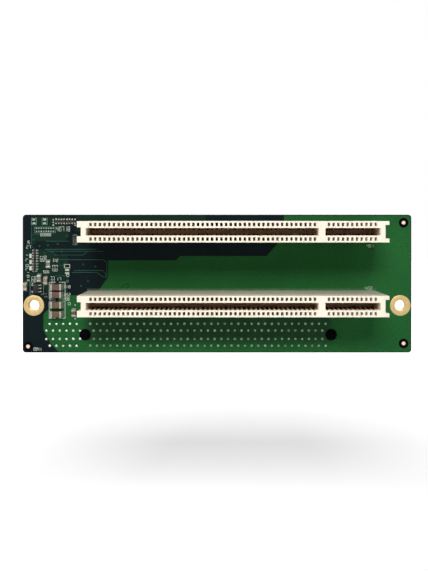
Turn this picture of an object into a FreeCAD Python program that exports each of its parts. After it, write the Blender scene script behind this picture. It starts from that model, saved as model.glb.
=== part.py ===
import FreeCAD, Part
import os
import re

import Sketcher

# A riser card: a drilled board that carries two 32-bit PCI slots on its front face and one
# PCI Express x16 slot on its rear face. Millimetres. X runs along the board, Z up, and the
# PCI slots stand out towards -Y. The origin is midway between the two mounting holes, on
# the board's front face.

SIZES = {
    # circuit board
    "board_length": 115.6,
    "board_height": 41.0,
    "board_thick": 1.6,
    "board_corner": 1.0,
    # its two plated mounting holes, measured from the lower corners
    "hole_count": 2,
    "hole_inset": 3.3,
    "hole_rise": 14.0,
    "hole_radius": 1.6,
    "land_radius": 3.05,
    "land_thick": 0.08,
    "barrel_wall": 0.1,
    # PCI slots: how far they stand in from the board's left edge, the lower one's height above
    # its lower edge, and their spacing
    "pci_inset": 19.68,
    "pci_rise": 15.6,
    "pci_spacing": 20.32,
    # PCI slot housing
    "pci_end": 3.685,
    "pci_width": 5.8,
    "pci_height": 15.49,
    "notch_depth": 1.05,
    "notch_left_width": 2.4,
    "notch_right_width": 3.7,
    "pci_card_gap": 2.04,
    "pci_card_depth": 9.0,
    "pci_card_room": 1.3,
    "pci_key_width": 1.85,
    "rim_width": 0.5,
    "window_length": 0.9,
    "window_width": 0.54,
    "window_depth": 2.4,
    "pci_mouth_flare": 0.15,
    # PCI contacts, in positions along the slot: the long part, the key, the short part
    "pci_pitch": 1.27,
    "pci_long_count": 49,
    "pci_key_count": 2,
    "pci_short_count": 11,
    "pci_contact_width": 0.6,
    "pci_contact_bow": 0.42,
    "pci_contact_drop": 1.6,
    "pci_contact_crest": 4.2,
    "pci_contact_end": 7.4,
    "pci_row_inner": 0.95,
    "pci_row_outer": 2.86,
    # PCI Express slot: how far its middle lies left of the PCI slots' middle, and its housing
    "pcie_lag": 13.5,
    "pcie_rise": 5.3,
    "pcie_end": 3.0,
    "pcie_width": 7.5,
    "pcie_height": 11.25,
    "pcie_card_gap": 1.9,
    "pcie_card_depth": 7.7,
    "pcie_card_room": 0.95,
    "pcie_key_width": 1.6,
    "pcie_mouth_flare": 0.4,
    "pcie_peg_radius": 1.1,
    "pcie_peg_length": 2.2,
    "pcie_peg_spacing": 73.15,
    # PCI Express contacts: the short part, the gap over the key, the long part
    "pcie_pitch": 1.0,
    "pcie_short_count": 11,
    "pcie_long_count": 71,
    "pcie_key_gap": 3.0,
    "pcie_contact_width": 0.5,
    "pcie_contact_bow": 0.4,
    "pcie_contact_drop": 1.2,
    "pcie_contact_crest": 3.0,
    "pcie_contact_end": 6.4,
    "pcie_row_inner": 1.25,
    "pcie_row_outer": 3.25,
    # soldered pin tips, and the play of a peg in its hole
    "joint_width": 1.1,
    "joint_height": 1.1,
    "peg_play": 0.075,
    # four large ceramic capacitors in a column, and the gaps under them from the lowest up
    "large_cap_length": 3.2,
    "large_cap_width": 1.85,
    "large_cap_height": 1.7,
    "large_cap_inset": 10.2,
    "large_cap_gap_four": 1.475,
    "large_cap_gap_three": 0.85,
    "large_cap_gap_two": 1.2,
    "large_cap_gap_one": 0.4,
    # small two-ended parts, all upright
    "chip_length": 2.0,
    "chip_width": 1.25,
    "chip_height": 0.9,
    "cap_band": 0.5,
    "solder_foot": 0.4,
    "edge_cap_inset": 0.8,
    "edge_cap_climb": 0.5,
    "slot_cap_inset": 15.3,
    "slot_cap_gap": 1.3,
    "grey_cap_inset": 5.0,
    "grey_cap_gap": 0.15,
    "tan_cap_inset": 6.9,
    "tan_cap_drop": 0.7,
    "high_cap_inset": 7.7,
    "high_cap_climb": 4.2,
    # five-leg regulator chip: a full side of legs, and one with its middle leg left out
    "reg_length": 2.9,
    "reg_width": 1.6,
    "reg_height": 1.1,
    "reg_float": 0.1,
    "reg_draft": 0.08,
    "reg_inset": 4.1,
    "reg_gap": 0.6,
    "leg_pitch": 0.95,
    "leg_count": 3,
    "leg_width": 0.4,
    "leg_reach": 0.65,
    "leg_thick": 0.15,
    "leg_level": 0.55,
    # packs of four resistors, in pairs end to end
    "pack_length": 3.0,
    "pack_width": 1.3,
    "pack_height": 0.5,
    "pack_spacing": 3.2,
    "pack_pitch": 0.8,
    "pack_count": 4,
    "pad_width": 0.4,
    "pad_reach": 0.25,
    "top_pack_inset": 12.8,
    "top_pack_drop": 2.0,
    "side_pack_inset": 3.75,
    "side_pack_rise": 27.6,
    # bridge chip on the rear face, midway between the PCI slots' rows of pins
    "bridge_width": 12.0,
    "bridge_base_thick": 0.5,
    "bridge_cap_width": 10.8,
    "bridge_cap_thick": 0.8,
    "bridge_inset": 30.8,
}

# Sizes and places that follow from the ones above, as formulas.
DERIVED = {
    # along a PCI slot, from its middle: the first contact, the first past the key, the key
    "pci_run": "(pci_long_count + pci_key_count + pci_short_count - 1) * pci_pitch",
    "pci_length": "pci_run + 2 * pci_end",
    "pci_first": "-pci_run / 2",
    "pci_past_key": "pci_first + (pci_long_count + pci_key_count) * pci_pitch",
    "pci_key": "pci_first + (pci_long_count - 1 + (pci_key_count + 1) / 2) * pci_pitch",
    # along the PCI Express slot, from its middle
    "pcie_run": "(pcie_short_count + pcie_long_count - 2) * pcie_pitch + pcie_key_gap",
    "pcie_length": "pcie_run + 2 * pcie_end",
    "pcie_first": "-pcie_run / 2",
    "pcie_key": "pcie_first + (pcie_short_count - 1) * pcie_pitch + pcie_key_gap / 2",
    "pcie_past_key": "pcie_key + pcie_key_gap / 2",
    # the board's edges, its holes, and the slots' places on it
    "board_left": "-board_length / 2",
    "board_right": "board_length / 2",
    "board_low": "-hole_rise",
    "board_top": "board_height - hole_rise",
    "hole_x": "board_length / 2 - hole_inset",
    "pci_x": "board_left + pci_inset + pci_length / 2",
    "lower_pci_z": "pci_rise - hole_rise",
    "upper_pci_z": "lower_pci_z + pci_spacing",
    "pcie_x": "pci_x - pcie_lag",
    "pcie_z": "pcie_rise - hole_rise",
    "pack_row": "(pack_count - 1) * pack_pitch",
    # heights of the small parts above the board's lower edge, each from what it stands clear of
    "chip_reach": "chip_length / 2 + solder_foot",
    "pcie_joint_top": "pcie_rise + pcie_row_outer + joint_width / 2",
    "slot_cap_rise": "pcie_joint_top + slot_cap_gap + chip_reach",
    "large_cap_rise_four": "pcie_joint_top + large_cap_gap_four + large_cap_width / 2",
    "large_cap_rise_three": "large_cap_rise_four + large_cap_gap_three + large_cap_width",
    "large_cap_rise_two": "large_cap_rise_three + large_cap_gap_two + large_cap_width",
    "large_cap_rise_one": "large_cap_rise_two + large_cap_gap_one + large_cap_width",
    "reg_rise": "hole_rise + land_radius + reg_gap + reg_length / 2",
    "edge_cap_rise": "reg_rise + edge_cap_climb",
    "grey_cap_rise": "reg_rise + reg_length / 2 + grey_cap_gap + chip_reach",
    "tan_cap_rise": "grey_cap_rise - tan_cap_drop",
    "high_cap_rise": "grey_cap_rise + high_cap_climb",
    # the bridge chip's place
    "bridge_x": "board_left + bridge_inset",
    "bridge_z": "(lower_pci_z + upper_pci_z) / 2",
}

V = FreeCAD.Vector
WORD = re.compile(r"[a-z]+_\w+")

# Front pieces are drawn lying on the board, X along and Z up from its front face, and then
# turned to stand out towards -Y. Rear pieces are turned to stand out towards +Y.
FRONT = FreeCAD.Rotation(V(1, 0, 0), 90)
REAR = FreeCAD.Rotation(V(1, 0, 0), -90)
FRONT_UPRIGHT = FRONT.multiply(FreeCAD.Rotation(V(0, 0, 1), 90))
# Pin tips are drawn standing along +Y, as they do on the rear face.
TIPS_REAR = FreeCAD.Rotation()
TIPS_FRONT = FreeCAD.Rotation(V(1, 0, 0), 180)

doc = FreeCAD.newDocument("riser_card")


def make_sheet():
    """Put every size in the sheet under its own word, and then the formulas."""
    sheet = doc.addObject("Spreadsheet::Sheet", "Sizes")
    cells = [(word, str(value)) for word, value in SIZES.items()]
    cells += [(word, f"={formula}") for word, formula in DERIVED.items()]
    for row, (word, content) in enumerate(cells, start=1):
        sheet.set(f"A{row}", word)
        sheet.set(f"B{row}", content)
        sheet.setAlias(f"B{row}", word)
    doc.recompute()


def bind(thing, prop, formula):
    """Tie a property to a formula in which every word is a size of the sheet."""
    thing.setExpression(prop, WORD.sub(r"Sizes.\g<0>", formula))


def new_body(label, turn, place):
    """A body for one sub-part, turned, with its place given as three formulas."""
    body = doc.addObject("PartDesign::Body", label)
    body.Label = label
    body.Placement = FreeCAD.Placement(V(), turn)
    for axis, formula in zip("xyz", place):
        bind(body, f"Placement.Base.{axis}", formula)
    return body


def origin_part(body, role):
    """One of the body's own origin planes or axes."""
    return next(item for item in body.Origin.OriginFeatures if item.Role == role)


def new_sketch(body, plane, offset="0"):
    """A sketch on one of the body's origin planes, moved off it by a formula."""
    sketch = body.newObject("Sketcher::SketchObject", f"{body.Label}_sketch")
    sketch.AttachmentSupport = (origin_part(body, plane), [""])
    sketch.MapMode = "FlatFace"
    bind(sketch, "AttachmentOffset.Base.z", offset)
    return sketch


def fix_point(sketch, line, end, x_place, y_place):
    """Hold one point of the sketch at a place given as two formulas."""
    for kind, formula in (("DistanceX", x_place), ("DistanceY", y_place)):
        index = sketch.addConstraint(Sketcher.Constraint(kind, -1, 1, line, end, 1.0))
        bind(sketch, f"Constraints[{index}]", formula)


def draw_outline(sketch, corners):
    """A closed outline of straight lines through corners given as formulas.

    The lines start out round a circle, and the constraints then carry each corner to its place.
    """
    first = sketch.GeometryCount
    count = len(corners)
    turns = [FreeCAD.Rotation(V(0, 0, 1), 360.0 * i / count) for i in range(count)]
    start = [turn.multVec(V(1, 0, 0)) for turn in turns]
    for i in range(count):
        sketch.addGeometry(Part.LineSegment(start[i], start[(i + 1) % count]))
    for i in range(count):
        following = first + (i + 1) % count
        sketch.addConstraint(Sketcher.Constraint("Coincident", first + i, 2, following, 1))
    for i, (x_place, y_place) in enumerate(corners):
        fix_point(sketch, first + i, 1, x_place, y_place)


def draw_box(sketch, left, right, low, high):
    """A rectangle between four formulas."""
    draw_outline(sketch, [(left, low), (right, low), (right, high), (left, high)])


def draw_circle(sketch, x_place, y_place, radius):
    """A circle with its middle and radius given as formulas."""
    circle = sketch.addGeometry(Part.Circle(V(0, 0, 0), V(0, 0, 1), 1.0))
    fix_point(sketch, circle, 3, x_place, y_place)
    index = sketch.addConstraint(Sketcher.Constraint("Radius", circle, 1.0))
    bind(sketch, f"Constraints[{index}]", radius)


def extrude(body, kind, sketch, length, both_ways=False, backwards=False):
    """A Pad or Pocket of a sketch."""
    feature = body.newObject(f"PartDesign::{kind}", f"{body.Label}_{kind.lower()}")
    feature.Profile = sketch
    feature.Midplane = both_ways
    feature.Reversed = backwards
    bind(feature, "Length", length)
    body.Tip = feature
    return feature


def repeat(body, feature, axis, pitch, count):
    """Copies of a feature along one of the body's axes."""
    pattern = body.newObject("PartDesign::LinearPattern", f"{feature.Name}_row")
    pattern.Originals = [feature]
    pattern.Direction = (origin_part(body, f"{axis}_Axis"), [""])
    pattern.Mode = "Spacing"
    bind(pattern, "Offset", pitch)
    bind(pattern, "Occurrences", count)
    body.Tip = pattern


def half(formula):
    """Half of a formula."""
    return f"({formula}) / 2"


# ------------------------------------------------------------------------- the board

def make_board():
    """The drilled board, with rounded corners."""
    body = new_body("circuit_board", FRONT, ("0", "0", "0"))
    sketch = new_sketch(body, "XY_Plane")
    draw_box(sketch, "board_left", "board_right", "board_low", "board_top")
    plate = extrude(body, "Pad", sketch, "board_thick", backwards=True)
    doc.recompute()
    corners = body.newObject("PartDesign::Fillet", "circuit_board_corners")
    upright = [
        f"Edge{number}"
        for number, edge in enumerate(plate.Shape.Edges, start=1)
        if abs(edge.tangentAt(edge.FirstParameter).z) > 0.5
    ]
    corners.Base = (plate, upright)
    bind(corners, "Radius", "board_corner")
    body.Tip = corners

    sketch = new_sketch(body, "XY_Plane")
    for side in ("-", ""):
        draw_circle(sketch, f"{side}hole_x", "0", "hole_radius + barrel_wall")
    for along in ("pcie_key", "pcie_key + pcie_peg_spacing"):
        draw_circle(sketch, f"pcie_x + {along}", "pcie_z", "pcie_peg_radius + peg_play")
    extrude(body, "Pocket", sketch, "board_thick")
    return [body]


def make_plating():
    """Both mounting holes' plating: a ring on the front face, and a thin barrel through the board."""
    body = new_body("mounting_hole_plating", FRONT, ("-hole_x", "0", "0"))
    sketch = new_sketch(body, "XZ_Plane")
    barrel = "hole_radius + barrel_wall"
    draw_outline(sketch, [
        ("hole_radius", "land_thick"),
        ("land_radius", "land_thick"),
        ("land_radius", "0"),
        (barrel, "0"),
        (barrel, "-board_thick"),
        ("hole_radius", "-board_thick"),
    ])
    turned = body.newObject("PartDesign::Revolution", "plated_hole")
    turned.Profile = sketch
    turned.ReferenceAxis = (sketch, ["V_Axis"])
    turned.Angle = 360
    body.Tip = turned
    repeat(body, turned, "X", "2 * hole_x", "hole_count")
    return [body]


# ------------------------------------------------------------------------ connectors

def make_contact_row(label, turn, place, side, names):
    """One row of spring contacts, bowed out from the card slot's wall."""
    height, gap, width, bow, drop, crest, end, sections = names
    body = new_body(label, turn, place)
    wall = half(gap)
    for start, pitch, count in sections:
        sketch = new_sketch(body, "YZ_Plane", start)
        draw_outline(sketch, [
            (f"{side}({wall})", f"{height} - {drop}"),
            (f"{side}({wall} - {bow})", f"{height} - {crest}"),
            (f"{side}({wall})", f"{height} - {end}"),
        ])
        contact = extrude(body, "Pad", sketch, width, both_ways=True)
        repeat(body, contact, "X", pitch, count)
    return body


def make_pin_tips(label, turn, place, rows):
    """Soldered pin tips, each a small peak, in rows on both sides of the slot's middle."""
    body = new_body(label, turn, place)
    for start, pitch, count, offset in rows:
        for level in (f"-{offset}", offset):
            peak = body.newObject("PartDesign::AdditiveWedge", f"{label}_peak")
            for prop, formula in (
                ("Xmin", f"{start} - joint_width / 2"),
                ("Xmax", f"{start} + joint_width / 2"),
                ("X2min", start),
                ("X2max", start),
                ("Ymin", "0"),
                ("Ymax", "joint_height"),
                ("Zmin", f"{level} - joint_width / 2"),
                ("Zmax", f"{level} + joint_width / 2"),
                ("Z2min", level),
                ("Z2max", level),
            ):
                bind(peak, prop, formula)
            body.Tip = peak
            repeat(body, peak, "X", pitch, count)
    return body


def cut_card_slot(body, kind):
    """The card slot in two parts, either side of the key, each with a flared mouth."""
    side = f"{kind}_card_gap / 2"
    start = f"{kind}_first - {kind}_card_room"
    key = f"{kind}_key"
    lip = f"{kind}_key_width / 2"
    for flare, depth in (("0", f"{kind}_card_depth"), (f"{kind}_mouth_flare",) * 2):
        sketch = new_sketch(body, "XY_Plane", f"{kind}_height")
        edges = (f"-({side} + {flare})", f"{side} + {flare}")
        draw_box(sketch, f"{start} - {flare}", f"{key} - {lip} + {flare}", *edges)
        draw_box(sketch, f"{key} + {lip} - {flare}", f"-({start}) + {flare}", *edges)
        cut = extrude(body, "Pocket", sketch, depth)
    cut.TaperAngle = -45


def make_pci_housing(label, place):
    """Moulded housing: keyed card slot, two rows of contact windows, end notches."""
    body = new_body(label, FRONT, place)
    end = "pci_length / 2"
    edge = "pci_width / 2"
    left_in = f"-{end} + notch_depth"
    left_half = "notch_left_width / 2"
    right_in = f"{end} - notch_depth"
    right_half = "notch_right_width / 2"
    sketch = new_sketch(body, "XY_Plane")
    draw_outline(sketch, [
        (f"-{end}", f"-{edge}"),
        (end, f"-{edge}"),
        (end, f"-{right_half}"),
        (right_in, f"-{right_half}"),
        (right_in, right_half),
        (end, right_half),
        (end, edge),
        (f"-{end}", edge),
        (f"-{end}", left_half),
        (left_in, left_half),
        (left_in, f"-{left_half}"),
        (f"-{end}", f"-{left_half}"),
    ])
    extrude(body, "Pad", sketch, "pci_height")

    cut_card_slot(body, "pci")

    inner = "pci_card_gap / 2 + rim_width"
    outer = f"{inner} + window_length"
    for start, count in (("pci_first", "pci_long_count"), ("pci_past_key", "pci_short_count")):
        sketch = new_sketch(body, "YZ_Plane", start)
        for sign in ("-", ""):
            draw_outline(sketch, [
                (f"{sign}({inner})", "pci_height"),
                (f"{sign}({outer})", "pci_height"),
                (f"{sign}({inner})", "pci_height - window_depth"),
            ])
        window = extrude(body, "Pocket", sketch, "window_width", both_ways=True)
        repeat(body, window, "X", "pci_pitch", count)
    return body


def make_pci_slot(name, level):
    """One PCI slot: housing, two contact rows, and its soldered tips on the rear face."""
    place = ("pci_x", "0", level)
    names = (
        "pci_height", "pci_card_gap", "pci_contact_width", "pci_contact_bow",
        "pci_contact_drop", "pci_contact_crest", "pci_contact_end",
        [
            ("pci_first", "pci_pitch", "pci_long_count"),
            ("pci_past_key", "pci_pitch", "pci_short_count"),
        ],
    )
    double = "2 * pci_pitch"
    rows = [
        ("pci_first", double, "ceil(pci_long_count / 2)", "pci_row_outer"),
        ("pci_first + pci_pitch", double, "floor(pci_long_count / 2)", "pci_row_inner"),
        ("pci_past_key", double, "ceil(pci_short_count / 2)", "pci_row_inner"),
        ("pci_past_key + pci_pitch", double, "floor(pci_short_count / 2)", "pci_row_outer"),
    ]
    rear = ("pci_x", "board_thick", level)
    return [
        make_pci_housing(f"{name}_pci_slot_housing", place),
        make_contact_row(f"{name}_pci_slot_contacts_high", FRONT, place, "", names),
        make_contact_row(f"{name}_pci_slot_contacts_low", FRONT, place, "-", names),
        make_pin_tips(f"{name}_pci_slot_pin_tips", TIPS_REAR, rear, rows),
    ]


def make_pcie_housing(place):
    """Moulded housing of the x16 slot, with its keyed card slot and two pegs."""
    body = new_body("pcie_slot_housing", REAR, place)
    end = "pcie_length / 2"
    edge = "pcie_width / 2"
    sketch = new_sketch(body, "XY_Plane")
    draw_box(sketch, f"-{end}", end, f"-{edge}", edge)
    extrude(body, "Pad", sketch, "pcie_height")

    cut_card_slot(body, "pcie")

    sketch = new_sketch(body, "XY_Plane")
    for along in ("pcie_key", "pcie_key + pcie_peg_spacing"):
        draw_circle(sketch, along, "0", "pcie_peg_radius")
    extrude(body, "Pad", sketch, "pcie_peg_length", backwards=True)
    return body


def make_pcie_slot():
    """The x16 slot on the rear face, and its soldered tips on the front face."""
    place = ("pcie_x", "board_thick", "pcie_z")
    names = (
        "pcie_height", "pcie_card_gap", "pcie_contact_width", "pcie_contact_bow",
        "pcie_contact_drop", "pcie_contact_crest", "pcie_contact_end",
        [
            ("pcie_first", "pcie_pitch", "pcie_short_count"),
            ("pcie_past_key", "pcie_pitch", "pcie_long_count"),
        ],
    )
    double = "2 * pcie_pitch"
    rows = [
        ("pcie_first", double, "ceil(pcie_short_count / 2)", "pcie_row_inner"),
        ("pcie_first + pcie_pitch", double, "floor(pcie_short_count / 2)", "pcie_row_outer"),
        ("pcie_past_key", double, "ceil(pcie_long_count / 2)", "pcie_row_outer"),
        ("pcie_past_key + pcie_pitch", double, "floor(pcie_long_count / 2)", "pcie_row_inner"),
    ]
    front = ("pcie_x", "0", "pcie_z")
    return [
        make_pcie_housing(place),
        make_contact_row("pcie_slot_contacts_high", REAR, place, "-", names),
        make_contact_row("pcie_slot_contacts_low", REAR, place, "", names),
        make_pin_tips("pcie_slot_pin_tips", TIPS_FRONT, front, rows),
    ]


# ----------------------------------------------------------------------- small parts

def on_board(inset, rise):
    """A place on the front face, from the board's left and lower edges."""
    return (f"board_left + {inset}", "0", f"board_low + {rise}")


def make_block(label, turn, place, length, width, height, lift="0"):
    """A plain block standing on the board."""
    body = new_body(label, turn, place)
    sketch = new_sketch(body, "XY_Plane", lift)
    draw_box(sketch, f"-({length}) / 2", half(length), f"-({width}) / 2", half(width))
    extrude(body, "Pad", sketch, height)
    return body


def make_two_ended(name, turn, place, length, width, height):
    """A chip capacitor: its ceramic, and a metal end with a solder foot at each end."""
    ceramic = make_block(f"{name}_ceramic", turn, place, f"{length} - 2 * cap_band", width, height)
    ends = new_body(f"{name}_ends", turn, place)
    for sign in ("-", ""):
        sketch = new_sketch(ends, "XZ_Plane")
        draw_outline(sketch, [
            (f"{sign}({length} / 2 - cap_band)", "0"),
            (f"{sign}({length} / 2 + solder_foot)", "0"),
            (f"{sign}({length} / 2)", height),
            (f"{sign}({length} / 2 - cap_band)", height),
        ])
        extrude(ends, "Pad", sketch, width, both_ways=True)
    return [ceramic, ends]


def make_capacitors():
    """Four large capacitors in a column, and five small ones."""
    pieces = []
    for number in ("one", "two", "three", "four"):
        place = on_board("large_cap_inset", f"large_cap_rise_{number}")
        name = f"large_capacitor_{number}"
        pieces += make_two_ended(
            name, FRONT, place, "large_cap_length", "large_cap_width", "large_cap_height"
        )
    for name in ("edge", "slot", "grey", "tan", "high"):
        place = on_board(f"{name}_cap_inset", f"{name}_cap_rise")
        pieces += make_two_ended(
            f"{name}_capacitor", FRONT_UPRIGHT, place, "chip_length", "chip_width", "chip_height"
        )
    return pieces


def make_regulator():
    """The five-leg regulator: a drafted body and bent legs, three on one side, two opposite."""
    place = on_board("reg_inset", "reg_rise")
    case = new_body("regulator_body", FRONT, place)
    sketch = new_sketch(case, "XZ_Plane")
    top = "reg_float + reg_height"
    wide = "reg_width / 2"
    slim = f"{wide} - reg_draft"
    draw_outline(sketch, [
        (f"-({slim})", "reg_float"),
        (slim, "reg_float"),
        (wide, "leg_level"),
        (slim, top),
        (f"-({slim})", top),
        (f"-{wide}", "leg_level"),
    ])
    extrude(case, "Pad", sketch, "reg_length", both_ways=True)

    legs = new_body("regulator_legs", FRONT, place)
    # The sketch's plane faces -Y, so the row starts at the far leg and runs back along Y.
    far = "(leg_count - 1) / 2 * leg_pitch"
    sides = (("", "leg_pitch", "leg_count"), ("-", "(leg_count - 1) * leg_pitch", "leg_count - 1"))
    for sign, pitch, count in sides:
        sketch = new_sketch(legs, "XZ_Plane", far)
        draw_outline(sketch, [
            (f"{sign}({wide})", "leg_level"),
            (f"{sign}({wide} + leg_reach / 2)", "0"),
            (f"{sign}({wide} + leg_reach)", "0"),
            (f"{sign}({wide} + leg_reach)", "leg_thick"),
            (f"{sign}({wide} + leg_reach / 2 + leg_thick)", "leg_thick"),
            (f"{sign}({wide})", "leg_level + leg_thick"),
        ])
        leg = extrude(legs, "Pad", sketch, "leg_width", both_ways=True)
        repeat(legs, leg, "Y", pitch, count)
    return [case, legs]


def make_pack_pair(name, turn, place):
    """Two four-resistor packs end to end, and their eight pairs of soldered ends."""
    bodies = new_body(f"{name}_bodies", turn, place)
    sketch = new_sketch(bodies, "XY_Plane")
    near = "pack_spacing / 2 - pack_length / 2"
    far = "pack_spacing / 2 + pack_length / 2"
    for sign in ("-", ""):
        draw_box(sketch, f"{sign}({near})", f"{sign}({far})", "-pack_width / 2", "pack_width / 2")
    extrude(bodies, "Pad", sketch, "pack_height")

    ends = new_body(f"{name}_ends", turn, place)
    edge = "pack_width / 2"
    for sign in ("-", ""):
        first = f"{sign}(pack_spacing / 2) - pack_row / 2"
        sketch = new_sketch(ends, "YZ_Plane", first)
        for side in ("-", ""):
            draw_outline(sketch, [
                (f"{side}({edge})", "0"),
                (f"{side}({edge} + pad_reach)", "0"),
                (f"{side}({edge})", "pack_height"),
            ])
        end = extrude(ends, "Pad", sketch, "pad_width", both_ways=True)
        repeat(ends, end, "X", "pack_pitch", "pack_count")
    return [bodies, ends]


def make_bridge():
    """The bridge chip on the rear face: a laminate base and a moulded cap."""
    place = ("bridge_x", "board_thick", "bridge_z")
    base = make_block(
        "bridge_chip_base", REAR, place, "bridge_width", "bridge_width", "bridge_base_thick"
    )
    cap = make_block(
        "bridge_chip_cap", REAR, place, "bridge_cap_width", "bridge_cap_width",
        "bridge_cap_thick", lift="bridge_base_thick",
    )
    return [base, cap]


# ---------------------------------------------------------------------------- output

def check(pieces):
    """Stop if any object of the document failed, or a sub-part has no good shape."""
    for item in doc.Objects:
        if "Invalid" in item.State or "Error" in item.State:
            raise RuntimeError(f"{item.Name} failed: {item.State}")
    for piece in pieces:
        if piece.Shape.isNull() or not piece.Shape.isValid():
            raise RuntimeError(f"{piece.Label} has no valid shape")


def main():
    make_sheet()
    pieces = make_board() + make_plating()
    pieces += make_pci_slot("upper", "upper_pci_z") + make_pci_slot("lower", "lower_pci_z")
    pieces += make_pcie_slot()
    pieces += make_capacitors() + make_regulator() + make_bridge()
    top_packs = on_board("top_pack_inset", "board_height - top_pack_drop")
    side_packs = on_board("side_pack_inset", "side_pack_rise")
    pieces += make_pack_pair("top_resistor_packs", FRONT, top_packs)
    pieces += make_pack_pair("side_resistor_packs", FRONT_UPRIGHT, side_packs)
    doc.recompute()
    check(pieces)
    os.makedirs("parts", exist_ok=True)
    for piece in pieces:
        piece.Shape.exportStep(f"parts/{piece.Label}.step")
        solids = len(piece.Shape.Solids)
        print(f"{piece.Label}: {solids} solids, {piece.Shape.Volume:.3f} mm3")


main()
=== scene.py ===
"""Looks for the riser card: finer slots, solder, copper, print and small parts on the frame."""

import math
import random

import bmesh
import bpy
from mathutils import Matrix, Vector


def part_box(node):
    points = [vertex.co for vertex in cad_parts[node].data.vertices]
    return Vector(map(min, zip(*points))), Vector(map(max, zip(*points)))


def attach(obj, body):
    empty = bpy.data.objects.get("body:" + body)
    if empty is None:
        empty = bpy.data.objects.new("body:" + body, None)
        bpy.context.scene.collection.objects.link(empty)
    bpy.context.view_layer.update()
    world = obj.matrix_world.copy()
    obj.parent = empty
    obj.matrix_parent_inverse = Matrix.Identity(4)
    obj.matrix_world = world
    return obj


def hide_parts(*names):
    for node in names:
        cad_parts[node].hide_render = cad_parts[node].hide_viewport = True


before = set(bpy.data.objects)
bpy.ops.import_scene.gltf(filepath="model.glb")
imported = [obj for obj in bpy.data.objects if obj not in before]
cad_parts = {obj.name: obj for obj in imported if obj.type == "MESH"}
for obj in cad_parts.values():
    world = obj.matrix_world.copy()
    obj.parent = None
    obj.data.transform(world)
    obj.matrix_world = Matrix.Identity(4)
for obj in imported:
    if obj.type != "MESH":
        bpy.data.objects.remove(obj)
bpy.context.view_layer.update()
MM = 0.001
random.seed(11)


# ---- places, in millimetres

def box_mm(node):
    """Lowest and highest corner of a CAD node, in millimetres."""
    low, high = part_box(node)
    return low / MM, high / MM


def middle_and_size(node):
    """Middle and size of a CAD node, in millimetres."""
    low, high = box_mm(node)
    return (low + high) / 2, high - low


BOARD_LOW, BOARD_HIGH = box_mm("circuit_board")
LEFT, BOTTOM = BOARD_LOW.x, BOARD_LOW.z
RIGHT, TOP = BOARD_HIGH.x, BOARD_HIGH.z
WIDE, TALL, THICK = RIGHT - LEFT, TOP - BOTTOM, BOARD_HIGH.y
HOLE_RADIUS, LAND_RADIUS = 1.6, 3.05
HOLE_X = box_mm("mounting_hole_plating")[1].x - LAND_RADIUS

# Contact places along X, from each slot's middle; the key takes up two of them.
PCI_PITCH = 1.27
PCI_PLACES, PCI_BEFORE_KEY = 62, 49
PCI_FIRST = -(PCI_PLACES - 1) / 2 * PCI_PITCH
PCI_KEY = PCI_FIRST + (PCI_BEFORE_KEY + 0.5) * PCI_PITCH
PCI_XS = [
    PCI_FIRST + n * PCI_PITCH for n in range(PCI_PLACES) if n - PCI_BEFORE_KEY not in (0, 1)
]
PCIE_PLACES, PCIE_BEFORE_KEY = 84, 11
PCIE_FIRST = -(PCIE_PLACES - 1) / 2
PCIE_KEY = PCIE_FIRST + PCIE_BEFORE_KEY + 0.5
PCIE_XS = [PCIE_FIRST + n for n in range(PCIE_PLACES) if n - PCIE_BEFORE_KEY not in (0, 1)]
PEG_SPACING = 73.15
PEG_XS = (PCIE_KEY, PCIE_KEY + PEG_SPACING)

# Each card slot runs on past its outer contacts by this much.
PCI_ROOM, PCIE_ROOM = 1.3, 0.95


def front(x, z, w):
    """A point w out from the board's front face."""
    return (x, -w, z)


def rear(x, z, w):
    """A point w out from the board's rear face."""
    return (x, THICK + w, z)


# ---- materials

WHITE = (1.0, 1.0, 1.0, 1.0)


def rgb(red, green, blue):
    """A colour written as 0 to 255, for a shader."""
    def linear(value):
        value /= 255
        return value / 12.92 if value <= 0.04045 else ((value + 0.055) / 1.055) ** 2.4
    return (linear(red), linear(green), linear(blue), 1.0)


def add_node(tree, kind, inputs=None, **settings):
    """A node in a tree; inputs holds values, or the sockets that feed them."""
    made = tree.nodes.new(kind)
    for key, value in settings.items():
        setattr(made, key, value)
    for key, value in (inputs or {}).items():
        if isinstance(value, bpy.types.NodeSocket):
            tree.links.new(value, made.inputs[key])
        else:
            made.inputs[key].default_value = value
    return made


def maths(tree, operation, *values):
    """A number worked out from one or more others."""
    made = add_node(tree, "ShaderNodeMath", dict(enumerate(values)), operation=operation)
    return made.outputs["Value"]


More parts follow.
